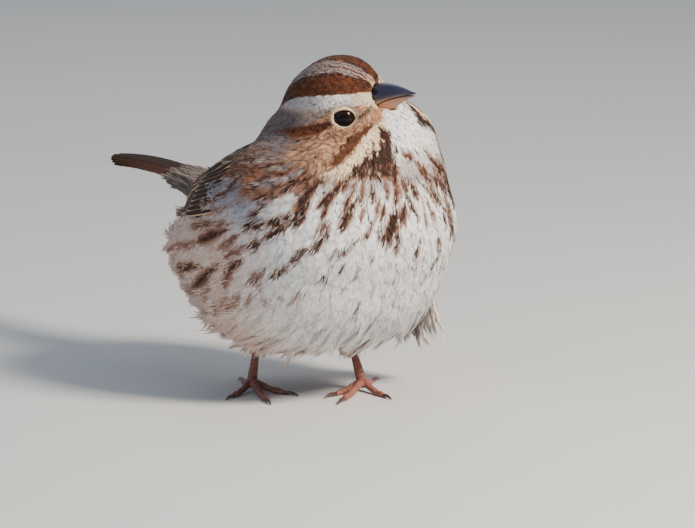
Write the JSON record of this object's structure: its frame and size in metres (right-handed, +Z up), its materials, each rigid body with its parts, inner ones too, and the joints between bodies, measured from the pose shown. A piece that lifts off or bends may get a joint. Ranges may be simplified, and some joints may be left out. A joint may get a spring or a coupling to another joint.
{
  "type": "song sparrow",
  "caption": "Small streaky brown songbird with a short conical bill, standing on both feet with raised plumage, tail level and head turned to its left.",
  "frame": {"origin": "under the middle of the bird's whole bounding box, at the floor it stands on", "axes": "+Z up, trunk facing -Y with the tail towards +Y, the bird's own right side towards -X"},
  "size_m": [0.0648, 0.1314, 0.0906],
  "materials": {
    "plumage": "soft feathered matt",
    "flight_feathers": "smooth matt vanes",
    "bill_horn": "satin horn",
    "pale_horn": "satin horn",
    "leg_scales": "scaly satin skin",
    "claw_horn": "satin horn",
    "eye": "wet gloss"
  },
  "bodies": {
    "root": {"bill_lower": "pale_horn", "bill_upper": "bill_horn", "claw_hind_left": "claw_horn", "claw_hind_right": "claw_horn", "claw_inner_left": "claw_horn", "claw_inner_right": "claw_horn", "claw_middle_left": "claw_horn", "claw_middle_right": "claw_horn", "claw_outer_left": "claw_horn", "claw_outer_right": "claw_horn", "eye_left": "eye", "eye_right": "eye", "head": "plumage", "neck": "plumage", "tail_centre": "flight_feathers", "tail_left": "flight_feathers", "tail_right": "flight_feathers", "tarsus_left": "leg_scales", "tarsus_right": "leg_scales", "thigh_left": "plumage", "thigh_right": "plumage", "toe_hind_left": "leg_scales", "toe_hind_right": "leg_scales", "toe_inner_left": "leg_scales", "toe_inner_right": "leg_scales", "toe_middle_left": "leg_scales", "toe_middle_right": "leg_scales", "toe_outer_left": "leg_scales", "toe_outer_right": "leg_scales", "trunk": "plumage", "wing_coverts_left": "flight_feathers", "wing_coverts_right": "flight_feathers", "wing_primaries_left": "flight_feathers", "wing_primaries_right": "flight_feathers", "wing_secondaries_left": "flight_feathers", "wing_secondaries_right": "flight_feathers"}
  },
  "joints": []
}
